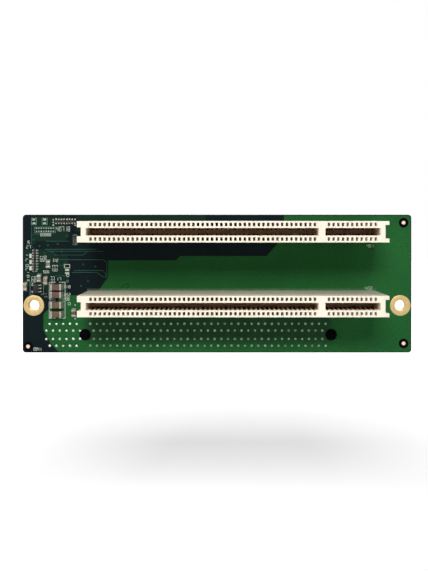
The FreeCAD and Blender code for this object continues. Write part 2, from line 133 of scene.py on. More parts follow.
class Shade:
    """A Principled material built from noise in object coordinates."""

    def __init__(self, name, rough=0.5, metal=0.0, specular=0.5):
        self.material = bpy.data.materials.new(name)
        self.material.use_nodes = True
        self.tree = self.material.node_tree
        self.shader = self.tree.nodes["Principled BSDF"]
        start = {"Roughness": rough, "Metallic": metal, "Specular IOR Level": specular}
        for key, value in start.items():
            self.shader.inputs[key].default_value = value
        self.coords = self.node("ShaderNodeTexCoord").outputs["Object"]
        self.normal = None

    def node(self, kind, inputs=None, **settings):
        return add_node(self.tree, kind, inputs, **settings)

    def maths(self, operation, *values):
        return maths(self.tree, operation, *values)

    def feed(self, key, source):
        """Links a value to the Principled shader."""
        self.tree.links.new(source, self.shader.inputs[key])
        return self

    def split(self, vector):
        """A vector's three numbers, by axis."""
        return self.node("ShaderNodeSeparateXYZ", {"Vector": vector}).outputs

    def noise(self, scale, detail=3.0, stretch=None):
        """Noise, from 0 to 1; stretch scales each axis first."""
        source = self.coords
        if stretch:
            mapping = self.node("ShaderNodeMapping", {"Vector": source, "Scale": stretch})
            source = mapping.outputs["Vector"]
        made = self.node("ShaderNodeTexNoise", {"Vector": source, "Scale": scale, "Detail": detail})
        return made.outputs["Fac"]

    def span(self, source, first, last, low=0.0, high=1.0, kind="SMOOTHSTEP"):
        """A value that goes from low to high as its source goes from first to last."""
        made = self.node("ShaderNodeMapRange", {
            "Value": source, "From Min": first, "From Max": last, "To Min": low, "To Max": high,
        }, interpolation_type=kind)
        return made.outputs["Result"]

    def ramp(self, source, *stops):
        """Colours, written as 0 to 255, at places along a value."""
        made = self.node("ShaderNodeValToRGB", {"Fac": source})
        elements = made.color_ramp.elements
        while len(elements) < len(stops):
            elements.new(0.5)
        for element, (place, colour) in zip(elements, stops):
            element.position = place
            element.color = rgb(*colour)
        return made.outputs["Color"]

    def mix(self, factor, first, second, blend="MIX"):
        """Two colours mixed by a value."""
        made = self.node(
            "ShaderNodeMix", {"Factor": factor, "A": first, "B": second},
            data_type="RGBA", blend_type=blend,
        )
        return made.outputs["Result"]

    def soft_box(self, sides):
        """1 inside a box and 0 outside it; sides holds (axis, middle, reach, fade) in mm."""
        place = self.split(self.coords)
        amount = 1.0
        for axis, middle, reach, fade in sides:
            far = self.maths("ABSOLUTE", self.maths("SUBTRACT", place[axis], middle * MM))
            near = self.span(far, (reach - fade) * MM, (reach + fade) * MM, 1.0, 0.0)
            amount = self.maths("MULTIPLY", amount, near)
        return amount

    def vary_rough(self, scale, low, high):
        return self.feed("Roughness", self.span(self.noise(scale), 0.0, 1.0, low, high, "LINEAR"))

    def bump(self, source, height, strength=1.0):
        """Fine relief, on top of any that is there."""
        inputs = {"Height": source, "Distance": height, "Strength": strength}
        if self.normal:
            inputs["Normal"] = self.normal
        self.normal = self.node("ShaderNodeBump", inputs).outputs["Normal"]
        return self.feed("Normal", self.normal)


def blotched(
    name, first, second, scale=400.0, grain=9000.0, height=0.00002, rough=(0.4, 0.6), **kinds
):
    """A surface of two close colours with a fine grain."""
    shade = Shade(name, **kinds)
    shade.feed("Base Color", shade.ramp(shade.noise(scale, 5.0), (0.3, first), (0.7, second)))
    shade.vary_rough(scale * 3, *rough)
    return shade.bump(shade.noise(grain, 4.0), height)


def mask(name, dark, mid, light, edge=False, thin_copper_and_shade=()):
    """Solder mask over the laminate's weave; the board's cut edges show the laminate.

    Its last argument is the place, as in soft_box, where pins leave less copper under the mask, and
    where the darker tone also stands for painted shade under the lower PCI slot.
    """
    shade = Shade(name, rough=0.4, specular=0.05)
    broad = shade.ramp(shade.noise(35.0, 4.0), (0.3, dark), (0.55, mid), (0.8, light))
    weave = [
        shade.node("ShaderNodeTexWave", {
            "Vector": shade.coords, "Scale": 260.0, "Distortion": 1.5, "Detail Scale": 900.0,
        }, wave_type="BANDS", bands_direction=axis).outputs["Fac"]
        for axis in ("X", "Z")
    ]
    speck = shade.ramp(shade.noise(2600.0, 2.0), (0.35, (205, 205, 205)), (0.7, (255, 255, 255)))
    result = shade.mix(0.8, broad, speck, "MULTIPLY")
    if thin_copper_and_shade:
        # A darker mask where pins thin the copper, which also serves as painted shade under the
        # lower PCI slot.
        sparse_copper_and_shade = shade.ramp(shade.noise(300.0, 4.0), (0.3, (24, 58, 32)), (0.7, (31, 68, 39)))
        result = shade.mix(shade.soft_box(thin_copper_and_shade), result, sparse_copper_and_shade)
    if edge:
        normal = shade.split(shade.node("ShaderNodeNewGeometry").outputs["Normal"])
        layers = shade.ramp(
            shade.noise(60.0, 3.0, (1.0, 150.0, 1.0)),
            (0.35, (58, 78, 44)), (0.5, (112, 118, 70)), (0.65, (78, 96, 54)),
        )
        result = shade.mix(shade.maths("ABSOLUTE", normal["Y"]), layers, result)
    shade.feed("Base Color", result)
    shade.vary_rough(900.0, 0.34, 0.5)
    shade.bump(shade.maths("MULTIPLY", *weave), 0.000006, 0.5)
    return shade.bump(shade.noise(3000.0, 2.0), 0.000008)


# Depths under the slots' mouths between which painted shade darkens the cream, and half the width
# of the warm painted shade inside each card slot.
SHADE_START, SHADE_END = 0.29, 6.99
SLOT_SHADE_HALF = 1.15


def cream_plastic():
    """Cream moulding, pale at its mouth, with painted shade that darkens it towards the board and
    browns it inside its card slots.
    """
    shade = Shade("cream_plastic", specular=0.4)
    unshaded_cream = shade.ramp(
        shade.noise(90.0, 6.0),
        (0.3, (232, 222, 202)), (0.55, (240, 231, 213)), (0.75, (244, 236, 220)),
    )
    # Painted shade: a greyer cream where the moulding lies deeper, towards the board.
    painted_shade_cream = shade.ramp(shade.noise(140.0, 6.0), (0.3, (172, 168, 146)), (0.7, (190, 186, 164)))
    # Painted shade inside the card slots, in a warm brown.
    inner = shade.ramp(shade.noise(140.0, 6.0), (0.3, (212, 168, 130)), (0.7, (228, 188, 150)))
    place = shade.split(shade.coords)
    mouth = box_mm("upper_pci_slot_housing")[0].y
    # How far the painted shade has grown, from the mouth towards the board.
    painted_shade_depth = shade.span(place["Y"], (mouth + SHADE_START) * MM, (mouth + SHADE_END) * MM)
    middles = [middle_and_size(f"{name}_pci_slot_housing")[0] * MM for name in ("upper", "lower")]
    # The card slots' place, where the warm painted shade goes.
    rows = [shade.maths("COMPARE", place["Z"], middle.z, SLOT_SHADE_HALF * MM) for middle in middles]
    reach = (PCI_ROOM - PCI_FIRST + 0.25) * MM
    along = shade.maths("COMPARE", place["X"], middles[0].x, reach)
    inside = shade.maths("MULTIPLY", shade.maths("MAXIMUM", *rows), along)
    deep = shade.mix(inside, painted_shade_cream, inner)
    shade.feed("Base Color", shade.mix(painted_shade_depth, unshaded_cream, deep))
    shade.vary_rough(1200.0, 0.38, 0.55)
    return shade.bump(shade.noise(14000.0, 3.0), 0.000012)


CERAMIC = {"scale": 900.0, "grain": 11000.0}
INK = {"scale": 2200.0, "rough": (0.55, 0.75), "specular": 0.2}
# Each look's material, its two colours, and what differs from the usual.
BLOTCHED = {
    "black": (
        "black_plastic", (20, 19, 22), (30, 28, 32), {"rough": (0.35, 0.55), "specular": 0.35},
    ),
    "peg": ("peg_plastic", (7, 5, 8), (13, 10, 14), {"rough": (0.75, 0.9), "specular": 0.01}),
    "chip": ("moulded_chip", (15, 14, 16), (24, 23, 25), {
        "grain": 12000.0, "height": 0.00003, "rough": (0.5, 0.7), "specular": 0.3,
    }),
    "contact": ("contact_bronze", (88, 60, 40), (128, 92, 62), {
        "scale": 900.0, "rough": (0.3, 0.5), "metal": 0.9,
    }),
    "bright_contact": ("contact_gold", (190, 152, 86), (214, 180, 112), {
        "scale": 900.0, "rough": (0.25, 0.4), "metal": 0.85,
    }),
    "gold": ("gold_plating", (182, 156, 104), (198, 174, 122), {
        "scale": 700.0, "grain": 7000.0, "height": 0.00001, "rough": (0.38, 0.55), "metal": 0.75,
    }),
    "bare_copper": ("bare_copper", (222, 190, 168), (238, 212, 192), {
        "scale": 1400.0, "grain": 7000.0, "height": 0.00001, "rough": (0.35, 0.5), "metal": 0.6,
    }),
    "solder": ("solder", (146, 164, 148), (196, 208, 192), {
        "scale": 1400.0, "grain": 5000.0, "rough": (0.16, 0.32), "metal": 0.95,
    }),
    "dull_solder": ("dull_solder", (104, 128, 108), (184, 198, 180), {
        "scale": 1100.0, "grain": 5000.0, "rough": (0.2, 0.4), "metal": 0.85,
    }),
    "tin": ("tinned_ends", (134, 136, 124), (184, 186, 172), {
        "scale": 1500.0, "grain": 6000.0, "height": 0.00003, "rough": (0.25, 0.45), "metal": 0.5,
    }),
    "brown": ("brown_ceramic", (74, 50, 38), (94, 66, 50), CERAMIC),
    "tan": ("tan_ceramic", (118, 102, 82), (144, 128, 106), CERAMIC),
    "grey": ("grey_ceramic", (98, 96, 88), (124, 120, 110), CERAMIC),
    "package": ("package_laminate", (24, 62, 40), (34, 78, 50), {
        "scale": 500.0, "rough": (0.35, 0.5),
    }),
    "print": ("white_print", (164, 174, 162), (214, 218, 206), INK),
    "faint_print": ("worn_print", (86, 108, 98), (124, 142, 130), INK),
}


def make_materials():
    express = middle_and_size("pcie_slot_housing")[0]
    # The field takes in the long row of pins and the board above it; its darker tone is partly
    # copper thinned by the pins and partly painted shade under the lower PCI slot.
    pin_field_and_shade = (("X", express.x + PCIE_FIRST + 48, 36.5, 1.5), ("Z", express.z + 3.7, 5.7, 2.2))
    made = {
        "mask_bare": mask("mask_over_laminate", (9, 19, 24), (13, 26, 29), (18, 37, 36), edge=True),
        "mask_copper": mask(
            "mask_over_copper", (30, 86, 42), (35, 96, 47), (43, 106, 53), thin_copper_and_shade=pin_field_and_shade
        ),
        "mask_deep": mask("mask_over_deep_copper", (16, 38, 31), (20, 46, 36), (25, 55, 41)),
        "mask_trace": mask("mask_over_trace", (40, 80, 66), (48, 92, 74), (56, 104, 82)),
        "cream": cream_plastic(),
    }
    for look, (name, first, second, settings) in BLOTCHED.items():
        made[look] = blotched(name, first, second, **settings)
    return made


MATERIALS = make_materials()


# ---- making pieces

def finish_piece(name, bm, look, replaces=(), smooth=None):
    """A mesh in millimetres becomes a piece in metres that rides on the root body."""
    bmesh.ops.recalc_face_normals(bm, faces=bm.faces)
    piece = new_object(name, bm, MATERIALS[look].material)
    if smooth:
        piece.data.shade_smooth()
        piece.data.set_sharp_from_angle(angle=math.radians(smooth))
    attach(piece, "root")
    if replaces:
        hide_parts(*replaces)
    return piece


def new_object(name, bm, material):
    """An object in the scene, in metres, from a mesh in millimetres."""
    bmesh.ops.scale(bm, vec=(MM,) * 3, verts=bm.verts)
    mesh = bpy.data.meshes.new(name)
    bm.to_mesh(mesh)
    bm.free()
    mesh.materials.append(material)
    made = bpy.data.objects.new(name, mesh)
    bpy.context.scene.collection.objects.link(made)
    return made


def bevel(piece, width, segments=2, angle=30.0):
    """Rounds every sharp edge of a piece and keeps the result as its mesh."""
    modifier = piece.modifiers.new("edges", "BEVEL")
    modifier.width = width * MM
    modifier.segments = segments
    modifier.limit_method = "ANGLE"
    modifier.angle_limit = math.radians(angle)
    graph = bpy.context.evaluated_depsgraph_get()
    mesh = bpy.data.meshes.new_from_object(piece.evaluated_get(graph))
    piece.modifiers.clear()
    old = piece.data
    piece.data = mesh
    bpy.data.meshes.remove(old)
    mesh.name = piece.name
    mesh.shade_smooth()
    mesh.set_sharp_from_angle(angle=math.radians(35))


def wall(bm, low, high):
    """Faces between two rings of as many corners."""
    for n in range(len(low)):
        m = (n + 1) % len(low)
        bm.faces.new((low[n], low[m], high[m], high[n]))


def skin(bm, rings):
    """Faces between rings that follow each other, and one over each end."""
    for low, high in zip(rings, rings[1:]):
        wall(bm, low, high)
    bm.faces.new(rings[0])
    bm.faces.new(rings[-1])


def circle(centre, radius, sides):
    """Points (x, z) round a circle."""
    turns = [2 * math.pi * n / sides for n in range(sides)]
    return [(centre[0] + radius * math.cos(a), centre[1] + radius * math.sin(a)) for a in turns]


def round_rings(bm, profile, centre, place, sides):
    """A ring of corners for each (radius, w) of a profile, or one corner on the axis."""
    return [
        [bm.verts.new(place(x, z, w)) for x, z in circle(centre, radius, sides if radius else 1)]
        for radius, w in profile
    ]


def lathe(bm, profile, centre, place, sides=14):
    """Turns a profile of (radius, w) round the normal through centre (x, z)."""
    rings = round_rings(bm, profile, centre, place, sides)
    for low, high in zip(rings, rings[1:]):
        if len(low) == len(high):
            wall(bm, low, high)
            continue
        (tip,), rim = sorted((low, high), key=len)
        for n in range(sides):
            bm.faces.new((tip, rim[n], rim[(n + 1) % sides]))
    for end in (rings[0], rings[-1]):
        if len(end) > 1:
            bm.faces.new(end)


def lathe_loop(bm, profile, centre, place, sides=48):
    """Turns a closed profile, which keeps clear of the axis."""
    rings = round_rings(bm, profile, centre, place, sides)
    for low, high in zip(rings, rings[1:] + rings[:1]):
        wall(bm, low, high)


def ring(bm, centre, inner, outer, w0, w1, place, sides=48):
    """A flat ring with softly rounded edges."""
    soft = min(0.02, (w1 - w0) / 2)
    lathe_loop(bm, [
        (inner, w0), (outer, w0), (outer, w1 - soft), (outer - soft, w1), (inner + soft, w1),
        (inner, w1 - soft),
    ], centre, place, sides)


def tapered(bm, centre, wide, long, levels, place):
    """A block whose sides draw in; wide and long are halves, levels holds (w, inset)."""
    skin(bm, [
        [
            bm.verts.new(place(centre[0] + sx * (wide - inset), centre[1] + sz * (long - inset), w))
            for sx, sz in ((-1, -1), (1, -1), (1, 1), (-1, 1))
        ]
        for w, inset in levels
    ])


def block(bm, centre, wide, long, w0, w1, place):
    """A plain block; wide and long are halves."""
    tapered(bm, centre, wide, long, ((w0, 0.0), (w1, 0.0)), place)


def prism(bm, profile, ends, place):
    """A profile of (u, w) points drawn between two values of v; place takes (u, v, w)."""
    skin(bm, [[bm.verts.new(place(u, v, w)) for u, w in profile] for v in ends])


def strip(bm, path, centre, width, thick, place):
    """A bent strip of one width: path holds (z, w) points, swept flat along X."""
    rings = []
    for n, (z, w) in enumerate(path):
        before, after = path[max(n - 1, 0)], path[min(n + 1, len(path) - 1)]
        run = Vector((after[0] - before[0], after[1] - before[1])).normalized()
        side = Vector((-run.y, run.x)) * thick / 2
        rings.append([
            bm.verts.new(place(centre + dx, z + side.x * s, w + side.y * s))
            for dx, s in ((-width / 2, -1), (width / 2, -1), (width / 2, 1), (-width / 2, 1))
        ])
    skin(bm, rings)


def smooth_path(points, steps=4):
    """More points along a path, rounded through the given ones."""
    made = []
    ends = [points[0]] + list(points) + [points[-1]]
    for a, b, c, d in zip(ends, ends[1:], ends[2:], ends[3:]):
        for n in range(steps):
            t = n / steps
            made.append(tuple(
                0.5 * (
                    2 * b[i] + (c[i] - a[i]) * t
                    + (2 * a[i] - 5 * b[i] + 4 * c[i] - d[i]) * t * t
                    + (3 * b[i] - a[i] - 3 * c[i] + d[i]) * t ** 3
                )
                for i in (0, 1)
            ))
    return made + [points[-1]]


def lattice(xs, zs, ws, filled, place):
    """The skin of the filled cells of a grid; place turns (x, z, w) into a point."""
    bm = bmesh.new()
    lines = (xs, zs, ws)
    corners = {}

    def corner(spot):
        if spot not in corners:
            corners[spot] = bm.verts.new(place(*(line[n] for line, n in zip(lines, spot))))
        return corners[spot]

    full = {
        (i, j, k)
        for i in range(len(xs) - 1) for j in range(len(zs) - 1) for k in range(len(ws) - 1)
        if filled((xs[i] + xs[i + 1]) / 2, (zs[j] + zs[j + 1]) / 2, (ws[k] + ws[k + 1]) / 2)
    }
    for cell in sorted(full):
        for axis in range(3):
            one, two = [other for other in range(3) if other != axis]
            for step in (0, 1):
                near = list(cell)
                near[axis] += 1 if step else -1
                if tuple(near) in full:
                    continue
                around = []
                for a, b in ((0, 0), (1, 0), (1, 1), (0, 1)):
                    spot = list(cell)
                    spot[axis] += step
                    spot[one] += a
                    spot[two] += b
                    around.append(corner(tuple(spot)))
                bm.faces.new(around)
    bmesh.ops.dissolve_limit(bm, angle_limit=math.radians(1), verts=bm.verts, edges=bm.edges)
    return bm


# ---- slots' own parts

class Slot:
    """Where a slot stands: its ends, middle and level, and its key, card and contacts in X."""

    def __init__(self, node, places, key, key_half, room, window):
        self.low, self.high = box_mm(f"{node}_housing")
        self.middle = (self.low.x + self.high.x) / 2
        self.level = (self.low.z + self.high.z) / 2
        self.key = (self.middle + key - key_half, self.middle + key + key_half)
        self.card = (self.middle + places[0] - room, self.middle + places[-1] + room)
        self.contacts = [self.middle + x for x in places]
        self.windows = [(x - window / 2, x + window / 2) for x in self.contacts]

    def columns(self, *others):
        """The lines along X that a moulding's grid needs."""
        ends = {self.low.x, self.high.x, *self.key, *self.card, *others}
        return sorted(ends | {x for window in self.windows for x in window})

    def in_card(self, x):
        return self.card[0] < x < self.card[1] and not self.key[0] < x < self.key[1]

    def in_window(self, x):
        return any(start < x < end for start, end in self.windows)


def make_springs(name, node, look, xs, path, width, thick, place):
    """A slot's two rows of spring contacts; path is the upper row's, in (z, w)."""
    path = smooth_path(path)
    for side, word in ((1, "high"), (-1, "low")):
        bm = bmesh.new()
        for x in xs:
            strip(bm, [(side * z, w) for z, w in path], x, width, thick, place)
        finish_piece(
            f"{name}_springs_{word}", bm, look,
            replaces=[f"{node}_contacts_{word}"], smooth=40,
        )


def solder_cone(bm, centre, place, radius, height):
    """A through-hole joint: a flared foot and a pin's rounded tip, none quite like the next."""
    radius *= random.uniform(0.93, 1.0)
    height *= random.uniform(0.82, 1.0)
    lathe(bm, [
        (radius, -0.02), (radius, 0.05), (radius * 0.86, 0.13), (radius * 0.62, 0.26),
        (radius * 0.48, height * 0.5), (radius * 0.44, height * 0.86),
        (radius * 0.3, height * 0.97), (0.0, height),
    ], centre, place, sides=12)


def solder_dome(bm, centre, place, radius, height):
    """A low round joint that covers its pin, none quite like the next."""
    radius *= random.uniform(0.92, 1.0)
    height *= random.uniform(0.75, 1.0)
    steps = [(math.cos(a), math.sin(a)) for a in (0.0, 0.35, 0.7, 1.0, 1.25, math.pi / 2)]
    curve = [(radius * c, 0.04 + (height - 0.04) * s) for c, s in steps[:-1]]
    lathe(bm, [(radius, -0.02), *curve, (0.0, height)], centre, place)


def solder_cup(bm, centre, place):
    """A small joint that has sunk round its pin, none quite like the next."""
    foot, rise = random.uniform(0.32, 0.39), random.uniform(0.08, 0.3)
    lathe(bm, [
        (foot, -0.02), (foot, 0.04), (foot - 0.06, 0.11), (foot - 0.14, 0.1), (0.2, 0.02),
        (0.16, 0.0), (0.15, rise), (0.1, rise + 0.05), (0.0, rise + 0.06),
    ], centre, place, sides=12)


# ---- PCI slots

# Across the slot, measured from its middle.
PCI_EDGE = 2.9
PCI_WALL = 1.02
PCI_WINDOW = (1.5, 2.46)
# Joints, which take these two places by turns.
PCI_JOINTS = (2.86, 0.95)
# The notch in each end: how deep, and half its height at the left and at the right.
PCI_NOTCH = 1.05
PCI_NOTCH_LEFT, PCI_NOTCH_RIGHT = 1.2, 1.85
# Along the slot.
PCI_WINDOW_WIDTH = 0.68
PCI_KEY_HALF = 0.925
# Out from the board, and down from the slot's mouth.
PCI_FLOOR = 6.49
CHAMBER_FLOOR = 7.2
RIM_DEPTH = 0.8
PCI_SPRING_WIDTH, PCI_SPRING_THICK = 0.52, 0.16
PCI_SPRING = [
    (2.22, CHAMBER_FLOOR - 0.4), (2.2, 8.4), (1.7, 9.6), (0.86, 10.9), (0.6, 11.6), (0.82, 12.3),
    (1.3, 13.0), (1.6, 13.5), (1.72, 13.8),
]


def make_pci_slot(name):
    """Cream moulding with a keyed card slot, a chamber for each contact, and end notches."""
    slot = Slot(f"{name}_pci_slot", PCI_XS, PCI_KEY, PCI_KEY_HALF, PCI_ROOM, PCI_WINDOW_WIDTH)
    top = -slot.low.y
    notches = (slot.low.x + PCI_NOTCH, slot.high.x - PCI_NOTCH)
    levels = (PCI_EDGE, PCI_NOTCH_RIGHT, PCI_NOTCH_LEFT, PCI_WALL, *PCI_WINDOW)
    zs = sorted({side * z for side in (-1, 1) for z in levels})
    ws = [0.0, PCI_FLOOR, CHAMBER_FLOOR, top - RIM_DEPTH, top]

    def filled(x, z, w):
        side = abs(z)
        if x < notches[0] and side < PCI_NOTCH_LEFT:
            return False
        if x > notches[1] and side < PCI_NOTCH_RIGHT:
            return False
        if slot.in_card(x) and side < PCI_WALL and w > PCI_FLOOR:
            return False
        if w > CHAMBER_FLOOR and side < PCI_WINDOW[1] and slot.in_window(x):
            if side > PCI_WINDOW[0] or (side > PCI_WALL and w < top - RIM_DEPTH):
                return False
        return True

    def place(x, z, w):
        return front(x, slot.level + z, w)

    bm = lattice(slot.columns(*notches), zs, ws, filled, place)
    piece = finish_piece(
        f"{name}_slot_moulding", bm, "cream",
        replaces=[f"{name}_pci_slot_housing"],
    )
    bevel(piece, 0.06)
    make_springs(
        f"{name}_slot", f"{name}_pci_slot", "contact", slot.contacts, PCI_SPRING,
        PCI_SPRING_WIDTH, PCI_SPRING_THICK, place,
    )
    bm = bmesh.new()
    for n, x in enumerate(slot.contacts):
        for side in (-1, 1):
            solder_cone(bm, (x, slot.level + side * PCI_JOINTS[n % 2]), rear, 0.52, 1.05)
    finish_piece(
        f"{name}_slot_joints", bm, "solder",
        replaces=[f"{name}_pci_slot_pin_tips"], smooth=50,
    )


# ---- PCI Express slot

# Across the slot, measured from its middle.
PCIE_EDGE = 3.75
PCIE_HOLLOW = 3.3
PCIE_CHAMBER = 1.75
PCIE_WALL = 0.95
# Joints, which take these two places by turns.
PCIE_JOINTS = (1.25, 3.25)
# Along the slot.
PCIE_WINDOW_WIDTH = 0.6
PCIE_KEY_HALF = 0.8
PCIE_END = 1.2
# Heights: of the hollow under the body, and of the card slot from its floor to its mouth.
PCIE_FEET = 0.5
PCIE_DEPTH = 7.7
PCIE_SPRING_WIDTH, PCIE_SPRING_THICK = 0.42, 0.15


def make_pcie_slot():
    """Black x16 slot on the rear face, its contacts, pegs, and its joints on the front."""
    slot = Slot("pcie_slot", PCIE_XS, PCIE_KEY, PCIE_KEY_HALF, PCIE_ROOM, PCIE_WINDOW_WIDTH)
    middle, level, top = slot.middle, slot.level, slot.high.y - THICK
    hollow = (slot.low.x + PCIE_END, slot.high.x - PCIE_END)
    floor = top - PCIE_DEPTH
    chamber = (floor + 0.8, top - 0.9)
    levels = (PCIE_EDGE, PCIE_HOLLOW, PCIE_CHAMBER, PCIE_WALL)
    zs = sorted({side * z for side in (-1, 1) for z in levels})
    ws = [0.0, PCIE_FEET, floor, *chamber, top - 0.3, top]

    def filled(x, z, w):
        side = abs(z)
        if slot.in_card(x) and side < PCIE_WALL and w > floor:
            return False
        if side < PCIE_CHAMBER and chamber[0] < w < chamber[1] and slot.in_window(x):
            return False
        return not (w < PCIE_FEET and side < PCIE_HOLLOW and hollow[0] < x < hollow[1])

    def place(x, z, w):
        return rear(x, level + z, w)

    bm = lattice(slot.columns(*hollow), zs, ws, filled, place)
    piece = finish_piece(
        "express_slot_moulding", bm, "black", replaces=["pcie_slot_housing"]
    )
    bevel(piece, 0.07)
    spring = [
        (1.6, floor + 0.9), (1.5, floor + 2.4), (0.95, floor + 3.8), (0.6, floor + 5.0),
        (0.8, floor + 5.9), (1.2, floor + 6.6),
    ]
    make_springs(
        "express_slot", "pcie_slot", "bright_contact", slot.contacts, spring,
        PCIE_SPRING_WIDTH, PCIE_SPRING_THICK, place,
    )

    pegs, collars = bmesh.new(), bmesh.new()
    for x in PEG_XS:
        lathe(pegs, [
            (1.0, 0.5 - THICK), (1.1, 1.5 - THICK), (1.1, 0.35), (0.95, 0.52), (0.5, 0.58),
            (0.0, 0.5),
        ], (middle + x, level), front, sides=32)
        ring(collars, (middle + x, level), 1.05, 1.75, 0.0, 0.045, front)
    finish_piece("express_slot_pegs", pegs, "peg", smooth=35)
    finish_piece("peg_hole_collars", collars, "peg", smooth=35)

    bright, dull = bmesh.new(), bmesh.new()
    for n, x in enumerate(slot.contacts):
        for side in (-1, 1):
            spot = (x, level + side * PCIE_JOINTS[n % 2])
            if n < PCIE_BEFORE_KEY:
                solder_dome(bright, spot, front, 0.52, 0.6)
            else:
                solder_cup(dull, spot, front)
    finish_piece(
        "express_slot_joints", bright, "solder", replaces=["pcie_slot_pin_tips"], smooth=50
    )
    finish_piece("express_slot_small_joints", dull, "dull_solder", smooth=50)


# ---- plated holes

DRILL_RADIUS = 1.68


def make_plating():
    """Both mounting holes: a barrel with a gold land on each face."""
    land = [
        (HOLE_RADIUS, 0.0), (1.63, 0.06), (1.7, 0.08), (2.98, 0.08), (LAND_RADIUS, 0.05),
        (LAND_RADIUS, 0.0), (DRILL_RADIUS, -0.002),
    ]
    profile = land + [(radius, -THICK - w) for radius, w in reversed(land)]
    bm = bmesh.new()
    for x in (-HOLE_X, HOLE_X):
        lathe_loop(bm, profile, (x, 0.0), front, sides=72)
    finish_piece(
        "gold_lands", bm, "gold", replaces=["mounting_hole_plating"], smooth=40
    )


# ---- copper, print and bare pads

# What is laid on the board starts a little inside it, and stands this far out of it.
SUNK = -0.02
POUR_HIGH, TOP_POUR_HIGH, DEEP_POUR_HIGH, TRACK_HIGH = 0.035, 0.03, 0.028, 0.03
PRINT_HIGH, MARK_HIGH, PAD_HIGH, VIA_HIGH = 0.055, 0.05, 0.045, 0.05


def at(points):
    """Points measured from the board's lower left corner."""
    return [(LEFT + x, BOTTOM + z) for x, z in points]


# The pours stay inside the board's edge by the first number, and cut its corners by the second.
IN, CUT = 0.25, 0.95
REAR_IN, REAR_CUT = 0.3, 1.2
POUR = at([
    (6.2, 11.4), (11.8, 17.0), (20.7, 17.0), (22.5, 18.3), (25.4, 22.4), (25.4, 27.4),
    (45.6, 27.4), (46.8, 28.7), (72.6, 28.7), (75.6, 32.2), (77.7, 35.3), (77.7, TALL - IN),
    (WIDE - CUT, TALL - IN), (WIDE - IN, TALL - CUT), (WIDE - IN, CUT), (WIDE - CUT, IN),
    (10.6, IN), (8.2, 2.8), (6.2, 6.6),
])
TOP_POUR = at([(15.9, 36.0), (54.5, 36.0), (54.5, TALL - IN), (15.9, TALL - IN)])
DEEP_POURS = [
    at([(2.8, 40.4), (13.9, 40.4), (13.9, 34.6), (12.4, 33.2), (4.4, 33.2), (2.8, 31.6)]),
    at([
        (0.5, 30.6), (8.6, 30.6), (10.6, 28.6), (13.4, 28.6), (13.4, 17.6), (7.4, 17.6),
        (6.6, 19.4), (0.5, 19.4),
    ]),
]
REAR_POUR = at([
    (REAR_CUT, REAR_IN), (WIDE - REAR_CUT, REAR_IN), (WIDE - REAR_IN, REAR_CUT),
    (WIDE - REAR_IN, TALL - REAR_CUT), (WIDE - REAR_CUT, TALL - REAR_IN),
    (REAR_CUT, TALL - REAR_IN), (REAR_IN, TALL - REAR_CUT), (REAR_IN, REAR_CUT),
])
# Tracks: their bends, and their width.
TRACES = [
    ([(15.2, 24.4), (23.7, 24.4), (24.7, 23.4), (24.7, 22.7)], 0.2),
    ([
        (14.6, 23.8), (22.2, 23.8), (24.0, 22.4), (25.0, 22.4), (25.0, 26.7), (24.1, 27.6),
        (10.3, 27.6),
    ], 0.2),
    ([(9.7, 22.8), (13.0, 22.8)], 0.2),
    ([(6.7, 30.7), (22.0, 30.7)], 0.2),
    ([(7.4, 30.1), (24.0, 30.1)], 0.16),
    ([(2.6, 37.6), (2.6, 31.7), (3.9, 30.4)], 0.16),
    ([(2.6, 35.2), (5.0, 35.2)], 0.16),
    ([(9.2, 29.0), (18.0, 29.0), (19.2, 30.0)], 0.16),
    ([(6.9, 33.1), (13.8, 33.1)], 0.16),
    ([(7.1, 25.9), (11.9, 25.9), (12.9, 26.9)], 0.16),
]
DARK_MARKS = [
    [(29.3, 19.0), (30.1, 19.8), (30.1, 20.4)], [(30.5, 19.0), (31.4, 19.4), (31.4, 20.4)],
    [(30.5, 20.4), (31.4, 20.4)],
]
DARK_LINE = 0.16
VIAS = [
    (19.4, 21.3), (18.0, 26.2), (21.6, 25.6), (11.6, 30.0), (5.0, 31.7), (7.6, 31.9),
    (10.4, 32.3), (13.0, 34.7), (3.2, 33.6), (6.5, 29.6), (8.9, 29.9), (28.2, 26.0),
    (33.5, 24.1), (44.0, 25.4), (58.2, 22.0), (63.5, 26.2), (71.0, 20.8), (83.4, 24.2),
    (92.6, 28.1), (98.2, 21.4), (107.8, 26.2), (110.2, 17.2), (112.0, 31.8), (96.5, 4.2),
    (104.6, 6.9), (12.2, 13.9), (14.6, 12.2), (17.4, 19.8),
]
FIDUCIALS = [(WIDE - 2.3, TALL - 2.4), (WIDE - 2.3, 2.7), (1.6, 1.8)]
# Two places left empty on the board, each outlined round two bare pads: x0, z0, x1, z1.
EMPTY_PLACES = ((2.6, 38.0, 4.1, 40.0), (5.8, 38.0, 7.3, 40.0))


def plate(bm, outline, high, place, holes=()):
    """A flat plate with holes of the drill's size round the given middles."""
    loops = [outline] + [circle(middle, DRILL_RADIUS, 48) for middle in holes]
    levels = []
    for w in (SUNK, high):
        rims = [[bm.verts.new(place(x, z, w)) for x, z in loop] for loop in loops]
        edges = [bm.edges.new(pair) for rim in rims for pair in zip(rim, rim[1:] + rim[:1])]
        bmesh.ops.triangle_fill(bm, edges=edges, use_beauty=True, use_dissolve=False)
        levels.append(rims)
    for lower, upper in zip(*levels):
        wall(bm, lower, upper)


